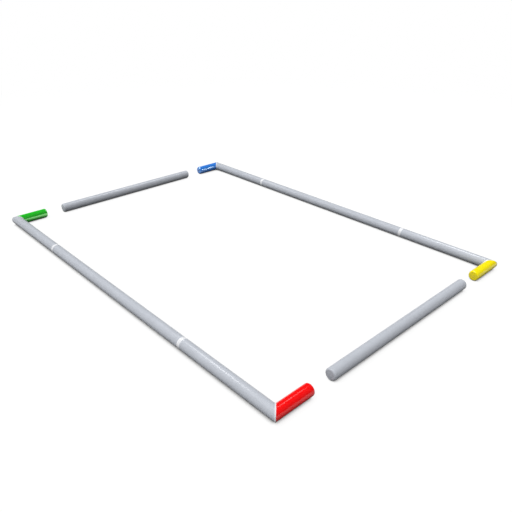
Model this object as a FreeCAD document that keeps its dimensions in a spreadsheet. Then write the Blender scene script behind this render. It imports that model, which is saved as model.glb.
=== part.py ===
"""Boundary of airtight inflated tubes that lies on the ground round a training field.

Two long grey runs face each other, each with a coloured return at both ends that turns in
along the short side. A loose grey tube lies on each short side, between two returns, and
leaves a gateway at each of its ends. Each of the four air chambers has its own inflation
valve, set in an end disc. All lengths are millimetres. +X runs along the long runs, +Y
across the field, +Z up, and the origin is on the ground at the middle of the field.
"""

import FreeCAD, Part
import os

import Sketcher

# One row for each size that can be set by itself: alias, value, what it measures.
SIZES = (
    ("tube_radius", 150.0, "outside radius of every inflated tube"),
    ("skin_wall", 0.9, "thickness of the coated fabric skin"),
    ("run_length", 12550.0, "corner to corner along a long run, on the tube axis"),
    ("field_width", 8800.0, "from one long run to the other, axis to axis"),
    ("band_offset", 3000.0, "corner to the joint that the nearer white band covers"),
    ("band_width", 100.0, "width of a white band"),
    ("tape_wall", 0.7, "thickness of the bands and of the mitre tapes"),
    ("tape_seat", 0.3, "weld layer between a tape or a disc and the skin"),
    ("mitre_tape_width", 26.0, "width of the tape over a mitred corner seam"),
    ("return_length", 1000.0, "corner to the free end of a coloured return"),
    ("loose_length", 5550.0, "length of a loose tube over its end rims"),
    ("rim_radius", 42.0, "radius of the rounded rim at a free end"),
    ("rim_turn_in", 15.0, "flat margin of skin turned in over an end disc"),
    ("disc_margin", 13.0, "lap of an end disc behind the turned-in margin"),
    ("flange_radius", 33.0, "valve flange"),
    ("flange_height", 3.0, "valve flange, above the end disc"),
    ("flange_bevel", 1.5, "bevel round the top of the flange"),
    ("collar_radius", 25.0, "outside of the valve's mouth"),
    ("collar_height", 12.0, "rim of the valve's mouth, above the end disc"),
    ("socket_radius", 19.0, "bore that takes the nozzle of a pump"),
    ("throat_radius", 16.0, "air passage below the socket"),
    ("barrel_radius", 24.0, "threaded barrel of the valve, inside the tube"),
    ("barrel_depth", 20.0, "from the face of the disc to the poppet's seat"),
    ("spider_depth", 9.0, "from the face of the disc down to the stem guide"),
    ("spider_height", 3.0, "thickness of the stem guide"),
    ("guide_radius", 6.0, "hub of the stem guide"),
    ("arm_width", 4.0, "arm of the stem guide"),
    ("stem_radius", 3.0, "valve stem"),
    ("running_gap", 0.05, "clearance of a shaft that moves in its hole"),
    ("button_radius", 8.0, "button on top of the stem"),
    ("button_height", 3.0, "thickness of the button"),
    ("button_recess", 0.5, "button top below the floor of the socket"),
    ("poppet_radius", 19.0, "disc that closes the throat"),
    ("poppet_height", 3.0, "thickness of the poppet"),
    ("poppet_bevel", 1.5, "bevel round the far side of the poppet"),
    ("seat_gap", 0.1, "poppet to its seat when shut"),
    ("coil_radius", 4.6, "spring, centre of the wire"),
    ("wire_width", 1.2, "spring wire, across the coil"),
    ("wire_height", 0.5, "spring wire, along the coil"),
    ("coil_turns", 3.0, "turns of the spring"),
    ("nut_radius", 34.0, "ring nut, across its corners"),
    ("nut_height", 8.0, "thickness of the ring nut"),
    ("cap_gap", 0.8, "cap to collar, all round"),
    ("cap_wall", 2.0, "wall of the cap"),
    ("cap_bevel", 1.0, "bevel round the top of the cap"),
    ("cap_lift", 0.5, "skirt of the cap above the flange"),
    ("hinge_reach", 32.0, "hinge pin from the valve's axis"),
    ("knuckle_radius", 2.6, "knuckle of the cap's hinge"),
    ("knuckle_width", 10.0, "length of the knuckle between the ears"),
    ("neck_depth", 1.3, "arm of the knuckle below the hinge pin, where it leaves the cap"),
    ("pin_radius", 1.25, "hinge pin"),
    ("ear_width", 3.0, "each ear of the hinge"),
    ("ear_set_back", 1.3, "foot of an ear, back from the ear's far side"),
    ("side_gap", 0.3, "knuckle to ear"),
    ("thumb_reach", 4.0, "thumb tab beyond the cap's skirt"),
    ("thumb_width", 12.0, "thumb tab, across"),
    ("thumb_height", 2.0, "thumb tab, thickness"),
)


class Size:
    """A length: its value now, and the sheet expression that it is bound to."""

    def __init__(self, value, text):
        self.value = value
        self.text = text

    def __add__(self, other):
        other = as_size(other)
        return Size(self.value + other.value, f"({self.text} + {other.text})")

    def __sub__(self, other):
        other = as_size(other)
        return Size(self.value - other.value, f"({self.text} - {other.text})")

    def __mul__(self, factor):
        return Size(self.value * factor, f"({self.text} * {factor})")

    def __truediv__(self, divisor):
        return Size(self.value / divisor, f"({self.text} / {divisor})")

    def __neg__(self):
        return self * -1


def as_size(length):
    """A Size, whether a Size or a plain number is given."""
    return length if isinstance(length, Size) else Size(length, str(length))


class Sheet:
    """The spreadsheet of driving sizes; sheet.alias gives the Size of that cell."""

    def __init__(self, doc, rows):
        self.cells = doc.addObject("Spreadsheet::Sheet", "Sizes")
        for number, (alias, value, meaning) in enumerate(rows, start=1):
            self.cells.set(f"A{number}", meaning)
            self.cells.set(f"B{number}", str(value))
            self.cells.setAlias(f"B{number}", alias)
        doc.recompute()
        for alias, _, _ in rows:
            setattr(self, alias, Size(float(self.cells.get(alias)), f"Sizes.{alias}"))


doc = FreeCAD.newDocument("Boundary")
S = Sheet(doc, SIZES)

FULL_TURN = 360
DIAGONAL = 2**0.5  # a square's diagonal, in sides
HALF_FLATS = 0.75**0.5  # a hexagon's half width over its flats, in half widths over its corners
GUIDE_ARMS = 3
BEYOND = 2  # a cut or a leg of an elbow reaches this many tube radii, clear of the tube
SAME_POINT = 1e-6  # sketch points closer than this are one point

ZERO = as_size(0.0)
X, Y, Z = FreeCAD.Vector(1, 0, 0), FreeCAD.Vector(0, 1, 0), FreeCAD.Vector(0, 0, 1)
ORIGIN_POINT = (-1, 1)  # Sketcher's own name for the sketch's origin
bodies = []


# ---------------------------------------------------------------- sketches and features


def new_body(label):
    body = doc.addObject("PartDesign::Body", label)
    body.Label = label
    bodies.append(body)
    return body


def bind(thing, name, size):
    """Tie one property or constraint of a document object to the sheet."""
    thing.setExpression(name, as_size(size).text)


def place(body, position, along, across):
    """Put a body's origin at position, its Z along one direction and its X along another."""
    body.Placement.Rotation = FreeCAD.Rotation(across, along.cross(across), along, "ZXY")
    for axis, size in zip("xyz", position):
        bind(body, f"Placement.Base.{axis}", size)


def new_sketch(body, name, role, offset=None):
    """A sketch on one of the body's own origin planes, shifted along the plane's normal."""
    sketch = body.newObject("Sketcher::SketchObject", name)
    plane = next(f for f in body.Origin.OriginFeatures if f.Role == role)
    sketch.AttachmentSupport = [(plane, "")]
    sketch.MapMode = "FlatFace"
    if offset is not None:
        bind(sketch, "AttachmentOffset.Base.z", offset)
    return sketch


def pin_point(sketch, point, at):
    """Fix a sketch point at two sizes from the sketch's origin."""
    for kind, size in zip(("DistanceX", "DistanceY"), at):
        number = sketch.addConstraint(Sketcher.Constraint(kind, *ORIGIN_POINT, *point, size.value))
        bind(sketch, f"Constraints[{number}]", size)


def as_vector(at):
    return FreeCAD.Vector(at[0].value, at[1].value, 0)


def outline(sketch, corners):
    """A closed outline through corners, each (x, y) or (x, y, centre of the arc that ends there)."""
    corners = [tuple(as_size(v) if i < 2 else v for i, v in enumerate(c)) for c in corners]
    first = sketch.GeometryCount
    for number, corner in enumerate(corners):
        start, end = as_vector(corners[number - 1]), as_vector(corner)
        if len(corner) == 2:
            sketch.addGeometry(Part.LineSegment(start, end))
            continue
        centre = FreeCAD.Vector(*(as_size(v).value for v in corner[2]), 0)
        middle = (start + end) / 2 - centre
        bulge = centre + middle.normalize() * (start - centre).Length
        sketch.addGeometry(Part.Arc(start, bulge, end))
    for number, corner in enumerate(corners):
        edge = first + number
        after = first + (number + 1) % len(corners)
        starts, ends = edge_ends(sketch, edge, corners[number - 1])
        next_start, _ = edge_ends(sketch, after, corner)
        sketch.addConstraint(Sketcher.Constraint("Coincident", edge, ends, after, next_start))
        pin_point(sketch, (edge, ends), corner[:2])
        if len(corner) == 3:
            pin_radius(sketch, edge, corner)


def edge_ends(sketch, edge, start):
    """Which end of an edge is its start on the outline, and which its end (an arc may be turned)."""
    at_start = (sketch.getPoint(edge, 1) - as_vector(start)).Length < SAME_POINT
    return (1, 2) if at_start else (2, 1)


def pin_radius(sketch, edge, corner):
    """Bind the radius of a quarter arc to the height of its centre below the corner's level."""
    centre_x, centre_y = (as_size(v) for v in corner[2])
    across, upright = corner[0] - centre_x, corner[1] - centre_y
    reach = across if abs(across.value) > abs(upright.value) else upright
    reach = reach if reach.value > 0 else -reach
    number = sketch.addConstraint(Sketcher.Constraint("Radius", edge, reach.value))
    bind(sketch, f"Constraints[{number}]", reach)


def circle(sketch, radius, centre=(0.0, 0.0)):
    centre = tuple(as_size(v) for v in centre)
    edge = sketch.addGeometry(Part.Circle(as_vector(centre), Z, radius.value))
    number = sketch.addConstraint(Sketcher.Constraint("Radius", edge, radius.value))
    bind(sketch, f"Constraints[{number}]", radius)
    pin_point(sketch, (edge, 3), centre)


def box_outline(sketch, low, high):
    """A rectangle from its low corner to its high corner."""
    outline(sketch, [low, (high[0], low[1]), high, (low[0], high[1])])


def revolve(body, name, corners):
    """Turn an outline in the body's XZ plane once round the body's Z axis."""
    sketch = new_sketch(body, f"{name}Profile", "XZ_Plane")
    outline(sketch, corners)
    turned = body.newObject("PartDesign::Revolution", name)
    turned.Profile = sketch
    turned.ReferenceAxis = (sketch, ["V_Axis"])
    turned.Angle = FULL_TURN
    return turned


def pad(body, name, sketch, height, both_ways=False):
    raised = body.newObject("PartDesign::Pad", name)
    raised.Profile = sketch
    bind(raised, "Length", height)
    if both_ways:
        raised.SideType = "Symmetric"
    return raised


def cut_through(body, name, sketch):
    """Cut a sketch's outline right through the body, to both sides of the sketch."""
    cut = body.newObject("PartDesign::Pocket", name)
    cut.Profile = sketch
    cut.Type = "ThroughAll"
    cut.SideType = "Symmetric"
    return cut


# ---------------------------------------------------------------------- inflated tubes


def skin_outline(low, high, low_rim, high_rim):
    """Wall of a tube from low to high, its end plain or turned in over a rounded rim."""
    outer, inner = S.tube_radius, S.tube_radius - S.skin_wall
    bend = outer - S.rim_radius
    edge = bend - S.rim_turn_in
    corners = []
    if low_rim:
        centre = (bend, low + S.rim_radius)
        corners += [
            (inner, low + S.rim_radius),
            (bend, low + S.skin_wall, centre),
            (edge, low + S.skin_wall),
            (edge, low),
            (bend, low),
            (outer, low + S.rim_radius, centre),
        ]
    else:
        corners += [(inner, low), (outer, low)]
    if high_rim:
        centre = (bend, high - S.rim_radius)
        corners += [
            (outer, high - S.rim_radius),
            (bend, high, centre),
            (edge, high),
            (edge, high - S.skin_wall),
            (bend, high - S.skin_wall),
            (inner, high - S.rim_radius, centre),
        ]
    else:
        corners += [(outer, high), (inner, high)]
    return corners


def mitre_cut(body):
    """Cut the body on the 45 degree plane through its origin, so that the part with Z over X stays."""
    reach = S.tube_radius * BEYOND
    sketch = new_sketch(body, "MitrePlane", "XZ_Plane")
    outline(sketch, [(-reach, -reach), (reach, -reach), (reach, reach)])
    cut_through(body, "Mitre", sketch)


def tube_skin(label, low, high, mitred=False, low_rim=False, high_rim=False):
    body = new_body(label)
    start = low - S.tube_radius if mitred else low
    revolve(body, "Skin", skin_outline(start, high, low_rim, high_rim))
    if mitred:
        mitre_cut(body)
    return body


def band(label):
    """White tape wrapped round the joint of two panels, centred on its own origin."""
    body = new_body(label)
    inner = S.tube_radius + S.tape_seat
    outer = inner + S.tape_wall
    half = S.band_width / 2
    revolve(body, "Tape", [(inner, -half), (outer, -half), (outer, half), (inner, half)])
    return body


def mitre_tape(label):
    """White tape over a mitred seam: a mitred elbow of tape, cut to a strip along the seam."""
    body = new_body(label)
    inner = S.tube_radius + S.tape_seat
    outer = inner + S.tape_wall
    reach = outer * BEYOND
    ring = new_sketch(body, "Ring", "XY_Plane", offset=reach)
    circle(ring, outer)
    circle(ring, inner)
    corner = new_sketch(body, "Corner", "XZ_Plane")
    legs = [((ZERO, reach), (ZERO, ZERO)), ((ZERO, ZERO), (reach, ZERO))]
    for start, end in legs:
        leg = corner.addGeometry(Part.LineSegment(as_vector(start), as_vector(end)))
        pin_point(corner, (leg, 1), start)
        pin_point(corner, (leg, 2), end)
    elbow = body.newObject("PartDesign::AdditivePipe", "Elbow")
    elbow.Profile = ring
    elbow.Spine = (corner, ["Edge1", "Edge2"])
    elbow.Transition = "Right corner"
    half = S.mitre_tape_width / 2 * DIAGONAL
    far = reach * DIAGONAL
    sides = (
        ("FirstLeg", [(-far, -far + half), (far, far + half), (-far, far + half)]),
        ("SecondLeg", [(-far, -far - half), (far, far - half), (far, -far - half)]),
    )
    for name, corners in sides:
        sketch = new_sketch(body, f"{name}Edge", "XZ_Plane")
        outline(sketch, corners)
        cut_through(body, name, sketch)
    return body


def end_disc(label, valved):
    """Flat disc behind the turned-in margin of a free end; its outer face is at Z = 0."""
    body = new_body(label)
    radius = S.tube_radius - S.rim_radius - S.rim_turn_in + S.disc_margin
    sketch = new_sketch(body, "Round", "XY_Plane", offset=-S.skin_wall)
    circle(sketch, radius)
    if valved:
        circle(sketch, S.barrel_radius + S.running_gap)
    pad(body, "Disc", sketch, S.skin_wall)
    return body


# ------------------------------------------------------------------------ inflation valve


def valve_body(label):
    """Moulded valve: flange and collar outside the disc, barrel and stem guide inside."""
    body = new_body(label)
    revolve(
        body,
        "Housing",
        [
            (S.throat_radius, -S.barrel_depth),
            (S.barrel_radius, -S.barrel_depth),
            (S.barrel_radius, 0.0),
            (S.flange_radius, 0.0),
            (S.flange_radius, S.flange_height - S.flange_bevel),
            (S.flange_radius - S.flange_bevel, S.flange_height),
            (S.collar_radius, S.flange_height),
            (S.collar_radius, S.collar_height),
            (S.socket_radius, S.collar_height),
            (S.socket_radius, S.flange_height),
            (S.throat_radius, S.flange_height),
        ],
    )
    floor = -S.spider_depth - S.spider_height
    arm_sketch = new_sketch(body, "ArmOutline", "XY_Plane", offset=floor)
    half = S.arm_width / 2
    root = (S.throat_radius + S.barrel_radius) / 2
    box_outline(arm_sketch, (S.stem_radius + S.running_gap, -half), (root, half))
    arm = pad(body, "Arm", arm_sketch, S.spider_height)
    arms = body.newObject("PartDesign::PolarPattern", "Arms")
    arms.Originals = [arm]
    arms.Axis = (arm_sketch, ["N_Axis"])
    arms.Angle = FULL_TURN
    arms.Occurrences = GUIDE_ARMS
    body.Tip = arms
    hub_sketch = new_sketch(body, "HubOutline", "XY_Plane", offset=floor)
    circle(hub_sketch, S.guide_radius)
    circle(hub_sketch, S.stem_radius + S.running_gap)
    pad(body, "Hub", hub_sketch, S.spider_height)
    hinge_ears(body)
    return body


def hinge_height():
    """The hinge pin above the end disc: the knuckle just clears the flange."""
    return S.flange_height + S.side_gap + S.knuckle_radius


def hinge_ears(body):
    """Two rounded ears on the flange that hold the hinge pin."""
    level = hinge_height()
    near = S.knuckle_width / 2 + S.side_gap
    for name, low in (("LeftEar", near), ("RightEar", -near - S.ear_width)):
        # the XZ plane's normal points along -Y, so a height along Y is its negative
        sketch = new_sketch(body, f"{name}Outline", "XZ_Plane", offset=-(low + S.ear_width))
        left, right = S.hinge_reach - S.knuckle_radius, S.hinge_reach + S.knuckle_radius
        top = level + S.knuckle_radius
        centre = (S.hinge_reach, level)
        foot = S.flange_height - S.flange_bevel
        outline(
            sketch,
            [
                (left, foot),
                (right - S.ear_set_back, foot),
                (right, level),
                (S.hinge_reach, top, centre),
                (left, level, centre),
            ],
        )
        circle(sketch, S.pin_radius, centre)
        pad(body, name, sketch, S.ear_width)


def valve_nut(label):
    """Six-sided ring nut on the barrel; it clamps the end disc against the flange."""
    body = new_body(label)
    sketch = new_sketch(body, "Hexagon", "XY_Plane", offset=-(S.skin_wall + S.nut_height))
    half_side, flat = S.nut_radius / 2, S.nut_radius * HALF_FLATS
    outline(
        sketch,
        [
            (S.nut_radius, 0.0),
            (half_side, flat),
            (-half_side, flat),
            (-S.nut_radius, 0.0),
            (-half_side, -flat),
            (half_side, -flat),
        ],
    )
    circle(sketch, S.barrel_radius + S.running_gap)
    pad(body, "Nut", sketch, S.nut_height)
    return body


def button_top():
    return S.flange_height - S.button_recess


def valve_stem(label):
    """Button, stem and poppet in one piece: pressing the button opens the throat."""
    body = new_body(label)
    top = button_top()
    under = top - S.button_height
    seat = -S.barrel_depth - S.seat_gap
    foot = seat - S.poppet_height
    revolve(
        body,
        "Stem",
        [
            (0.0, foot),
            (S.poppet_radius - S.poppet_bevel, foot),
            (S.poppet_radius, foot + S.poppet_bevel),
            (S.poppet_radius, seat),
            (S.stem_radius, seat),
            (S.stem_radius, under),
            (S.button_radius, under),
            (S.button_radius, top),
            (0.0, top),
        ],
    )
    return body


def valve_spring(label):
    """Flat-wire coil between the stem guide and the button."""
    body = new_body(label)
    low = -S.spider_depth + S.running_gap
    high = button_top() - S.button_height - S.running_gap
    sketch = new_sketch(body, "Wire", "XZ_Plane")
    half = S.wire_width / 2
    box_outline(
        sketch,
        (S.coil_radius - half, low),
        (S.coil_radius + half, low + S.wire_height),
    )
    coil = body.newObject("PartDesign::AdditiveHelix", "Coil")
    coil.Profile = sketch
    coil.ReferenceAxis = (sketch, ["V_Axis"])
    coil.Mode = "height-turns-angle"
    bind(coil, "Height", high - low - S.wire_height)
    bind(coil, "Turns", S.coil_turns)
    return body


def valve_cap(label):
    """Hinged cap: a cup over the collar, a knuckle on one side and a thumb tab on the other."""
    body = new_body(label)
    inner = S.collar_radius + S.cap_gap
    outer = inner + S.cap_wall
    skirt = S.flange_height + S.cap_lift
    ceiling = S.collar_height + S.cap_gap
    top = ceiling + S.cap_wall
    revolve(
        body,
        "Cup",
        [
            (0.0, ceiling),
            (inner, ceiling),
            (inner, skirt),
            (outer, skirt),
            (outer, top - S.cap_bevel),
            (outer - S.cap_bevel, top),
            (0.0, top),
        ],
    )
    level = hinge_height()
    centre = (S.hinge_reach, level)
    root = outer - S.cap_wall / 2
    knuckle = new_sketch(body, "KnuckleOutline", "XZ_Plane")
    outline(
        knuckle,
        [
            (root, level - S.neck_depth),
            (S.hinge_reach, level - S.knuckle_radius),
            (S.hinge_reach + S.knuckle_radius, level, centre),
            (S.hinge_reach, level + S.knuckle_radius, centre),
            (root, level + S.knuckle_radius),
        ],
    )
    circle(knuckle, S.pin_radius + S.running_gap, centre)
    pad(body, "Knuckle", knuckle, S.knuckle_width, both_ways=True)
    thumb = new_sketch(body, "ThumbOutline", "XY_Plane", offset=skirt)
    half = S.thumb_width / 2
    box_outline(thumb, (-outer - S.thumb_reach, -half), (-outer + S.cap_wall / 2, half))
    pad(body, "Thumb", thumb, S.thumb_height)
    return body


def hinge_pin(label):
    """Pin through both ears and the knuckle, along the body's Z axis."""
    body = new_body(label)
    sketch = new_sketch(body, "Round", "XY_Plane")
    circle(sketch, S.pin_radius)
    length = S.knuckle_width + S.side_gap * 2 + S.ear_width * 2
    pad(body, "Pin", sketch, length, both_ways=True)
    return body


def inflation_valve(name, face, outward):
    """All the pieces of one valve, its axis along outward, its hinge uppermost."""
    for kind, build in VALVE_PIECES:
        place(build(f"{name}_valve_{kind}"), face, outward, Z)
    pin = hinge_pin(f"{name}_valve_pin")
    level = hinge_height() * outward.y
    at = (face[0], face[1] + level, face[2] + S.hinge_reach)
    place(pin, at, outward.cross(Z), outward)


VALVE_PIECES = (
    ("body", valve_body),
    ("nut", valve_nut),
    ("stem", valve_stem),
    ("spring", valve_spring),
    ("cap", valve_cap),
)


# ------------------------------------------------------------------------------ assembly

tape_rise = S.tape_seat + S.tape_wall
run_axis = S.tube_radius + tape_rise  # a long run rests on its bands and mitre tapes
loose_axis = S.tube_radius
half_run = S.run_length / 2
half_width = S.field_width / 2
disc_inset = S.skin_wall + S.tape_seat


def long_run(name, side, back_colour, front_colour):
    """One long run with its two returns; side is -1 on the left of the field, 1 on the right."""
    inward = Y * -side
    line = half_width * side
    ends = (("back", -1, back_colour), ("front", 1, front_colour))
    for end, sign, colour in ends:
        away = X * -sign
        corner = (half_run * sign, line, run_axis)
        panel = tube_skin(f"{name}_panel_{end}", ZERO, S.band_offset, mitred=True)
        place(panel, corner, away, inward)
        coloured = tube_skin(
            f"{colour}_return", ZERO, S.return_length, mitred=True, high_rim=True
        )
        place(coloured, corner, inward, away)
        place(mitre_tape(f"{colour}_mitre_tape"), corner, away, inward)
        joint = (half_run * sign - S.band_offset * sign, line, run_axis)
        place(band(f"{name}_band_{end}"), joint, X, Y)
        face = line - (S.return_length - disc_inset) * side
        valved = end == "back"
        disc_at = (corner[0], face, run_axis)
        place(end_disc(f"{colour}_end_disc", valved), disc_at, inward, Z)
        if valved:
            inflation_valve(colour, disc_at, inward)
    middle = tube_skin(f"{name}_panel_mid", ZERO, S.run_length - S.band_offset * 2)
    place(middle, (-half_run + S.band_offset, line, run_axis), X, Y)


def loose_tube(name, sign):
    """A loose tube between two returns, with its valve in the end towards +Y."""
    barrel = tube_skin(
        f"{name}_tube_skin", ZERO, S.loose_length, low_rim=True, high_rim=True
    )
    half = S.loose_length / 2
    place(barrel, (half_run * sign, -half, loose_axis), Y, X)
    face = half - disc_inset
    for side, direction, valved in (("left", -1, False), ("right", 1, True)):
        at = (half_run * sign, face * direction, loose_axis)
        place(end_disc(f"{name}_tube_{side}_disc", valved), at, Y * direction, Z)
        if valved:
            inflation_valve(f"{name}_tube", at, Y * direction)


long_run("left", -1, "green", "red")
long_run("right", 1, "blue", "yellow")
loose_tube("back", -1)
loose_tube("front", 1)


# -------------------------------------------------------------------- check and write out

doc.recompute()
for item in doc.Objects:
    if "Invalid" in item.State or "Error" in item.State:
        raise RuntimeError(f"{item.Label} failed: {item.State}")
for body in bodies:
    shape = body.Shape
    if shape.isNull() or not shape.isValid() or len(shape.Solids) != 1:
        raise RuntimeError(f"{body.Label} is not one valid solid")

os.makedirs("parts", exist_ok=True)
for body in bodies:
    body.Shape.exportStep(f"parts/{body.Label}.step")
    volume = body.Shape.Volume
    print(f"{body.Label}: {volume:.0f} mm3")
print(f"{len(bodies)} sub-parts")
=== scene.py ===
"""Looks of the inflatable boundary of a training field, dressed over its packed frame.

Laid out as an add-on and run as a script. main() makes the stage and then the skins, tapes,
end discs and valves, one operator each. All lengths are metres, in the frame's own axes: +X
along the long runs, +Y across the field, +Z up.
"""

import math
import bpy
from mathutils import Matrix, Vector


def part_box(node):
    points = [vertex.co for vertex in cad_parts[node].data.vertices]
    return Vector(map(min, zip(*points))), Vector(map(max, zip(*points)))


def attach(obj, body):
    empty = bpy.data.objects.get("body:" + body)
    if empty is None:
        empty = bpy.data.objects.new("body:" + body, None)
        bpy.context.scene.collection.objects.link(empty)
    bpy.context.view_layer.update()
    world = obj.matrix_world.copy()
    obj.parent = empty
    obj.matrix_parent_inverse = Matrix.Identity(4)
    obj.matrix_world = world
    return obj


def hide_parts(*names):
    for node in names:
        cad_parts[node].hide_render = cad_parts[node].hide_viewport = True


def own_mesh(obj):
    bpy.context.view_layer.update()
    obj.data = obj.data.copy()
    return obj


bl_info = {
    "name": "Training Field Boundary",
    "version": (1, 0, 0),
    "blender": (4, 5, 0),
    "location": "3D View > Sidebar > Boundary",
    "description": "Dresses the inflatable field boundary and sets its stage",
    "category": "Object",
}

from functools import cache, partialmethod

import bmesh
import bpy
from mathutils import Matrix, Vector

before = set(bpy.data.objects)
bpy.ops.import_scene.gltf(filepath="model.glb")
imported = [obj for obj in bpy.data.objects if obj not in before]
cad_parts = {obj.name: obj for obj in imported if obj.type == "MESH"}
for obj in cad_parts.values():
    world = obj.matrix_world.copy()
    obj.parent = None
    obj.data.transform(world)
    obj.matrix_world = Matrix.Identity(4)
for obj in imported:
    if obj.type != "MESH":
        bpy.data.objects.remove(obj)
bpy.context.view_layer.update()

X, Y, Z = Vector((1, 0, 0)), Vector((0, 1, 0)), Vector((0, 0, 1))
FULL_TURN = 2 * math.pi
QUARTER_TURN = FULL_TURN / 4

# name of a long run, the way to the field from it along Y, colours of its back and front returns
RUNS = (("left", 1, "green", "red"), ("right", -1, "blue", "yellow"))
# name of a valve, the disc that it stands in, the disc's outward way along Y, the body it is on
VALVES = (
    ("green", "green_end_disc", 1, "boundary"),
    ("blue", "blue_end_disc", -1, "boundary"),
    ("back_tube", "back_tube_right_disc", 1, "back_tube"),
    ("front_tube", "front_tube_right_disc", 1, "front_tube"),
)
# one seed for the puckers of each seam, so that the pieces that meet there pucker together
SEAM_SEEDS = {"green": 11, "red": 23, "blue": 37, "yellow": 41}
SEAM_SEEDS |= {"left_back": 53, "left_front": 67, "right_back": 71, "right_front": 83}
RIM_SEED_STEP = 100  # from the seed of a return's corner to that of its rim
TUBE_SEEDS = {"back_tube": (91, 97), "front_tube": (92, 98)}  # of a loose tube's two rims
FIRST_DISC_SEED = 120


# ------------------------------------------------- settings


def maker(kind, **fixed):
    """A maker of one sort of property, from its name, default and description."""
    prop = getattr(bpy.props, f"{kind}Property")

    def make(name, default, description):
        return prop(name=name, default=default, description=description, **fixed)

    return make


length = maker("Float", min=0.0, unit="LENGTH", precision=5)
share = maker("Float", min=0.0, max=1.0, subtype="FACTOR")
strength = maker("Float", min=0.0)
angle = maker("Float", subtype="ANGLE")
lens = maker("Float", min=1.0)
count = maker("Int", min=3)
colour = maker("FloatVector", min=0.0, max=1.0, size=3, subtype="COLOR")
direction = maker("FloatVector", size=3, subtype="DIRECTION")
place = maker("FloatVector", size=3, subtype="TRANSLATION", unit="LENGTH")


class BOUNDARY_PG_skin(bpy.types.PropertyGroup):
    """Sizes of the inflated skins and their end discs."""

    wall: length("Skin wall", 0.0009, "Thickness of the coated fabric")
    rim_radius: length("Rim radius", 0.042, "Radius of the rounded rim at a free end")
    rim_turn_in: length("Turned-in margin", 0.015, "Flat margin welded over the end disc")
    lap_height: length("Lap height", 0.0009, "Step of the lengthwise lap seam")
    lap_width: length("Lap width", 0.03, "Width of the lengthwise lap seam")
    lap_angle: angle("Lap angle", math.radians(-42), "Place of the seam, up from the axis")
    seam_pucker: length("Pucker at bands", 0.0009, "Depth of the puckers beside a straight seam")
    mitre_pucker: length("Pucker at mitres", 0.0022, "Depth of the puckers beside a mitred seam")
    rim_pucker: length("Pucker at rims", 0.0026, "Depth of the puckers behind a rounded rim")
    pucker_reach: length("Pucker reach", 0.11, "How far the puckers run from their seam")
    disc_bulge: length("Disc bulge", 0.004, "How far the air pushes an end disc out")
    rings: count("Rings", 150, "Rings of vertices along a skin")
    sides: count("Sides", 96, "Vertices round a skin")


class BOUNDARY_PG_tape(bpy.types.PropertyGroup):
    """Sizes of the welded tapes."""

    seat: length("Weld layer", 0.0003, "Weld between a tape and the skin")
    wall: length("Tape wall", 0.0007, "Thickness of a tape")
    mitre_width: length("Mitre tape width", 0.026, "Width of the tape over a mitred seam")
    taper: share("Edge taper", 0.12, "Share of the half width over which a tape thins out")


class BOUNDARY_PG_valve(bpy.types.PropertyGroup):
    """Sizes of what is added to the valves."""

    wire_height: length("Wire height", 0.0005, "Spring wire, along the coil")
    wire_width: length("Wire width", 0.0012, "Spring wire, across the coil")
    coil_turns: strength("Coil turns", 3.0, "Turns of the spring")
    travel: length("Stem travel", 0.006, "How far the button goes in")
    rib_count: count("Grip ribs", 44, "Ribs round the cap, gaps included")
    rib_width: length("Rib width", 0.0009, "Width of a grip rib")
    rib_height: length("Rib height", 0.0007, "How far a grip rib stands out")


class BOUNDARY_PG_finish(bpy.types.PropertyGroup):
    """Colours and surfaces."""

    grey: colour("Grey vinyl", (0.475, 0.5, 0.548), "Runs and loose tubes")
    white: colour("White tape", (0.77, 0.78, 0.81), "Bands and mitre tapes")
    red: colour("Red vinyl", (0.93, 0.004, 0.005), "Front return of the left run")
    green: colour("Green vinyl", (0.014, 0.75, 0.02), "Back return of the left run")
    blue: colour("Blue vinyl", (0.035, 0.24, 0.83), "Back return of the right run")
    yellow: colour("Yellow vinyl", (1.0, 0.82, 0.004), "Front return of the right run")
    body: colour("Valve grey", (0.35, 0.37, 0.4), "Moulded valve body, nut and stem")
    cap: colour("Cap charcoal", (0.12, 0.13, 0.15), "Hinged cap")
    steel: colour("Steel", (0.6, 0.6, 0.6), "Spring and hinge pin")
    satin: share("Satin roughness", 0.27, "Roughness of the grey vinyl")
    gloss: share("Gloss roughness", 0.15, "Roughness of the coloured vinyl")
    weave_pitch: length("Weave pitch", 0.0022, "Thread spacing of the base fabric")
    weave_depth: length("Weave depth", 0.00002, "Print of the base fabric through the coating")
    peel_depth: length("Peel depth", 0.00006, "Ripple of the coating")


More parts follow.
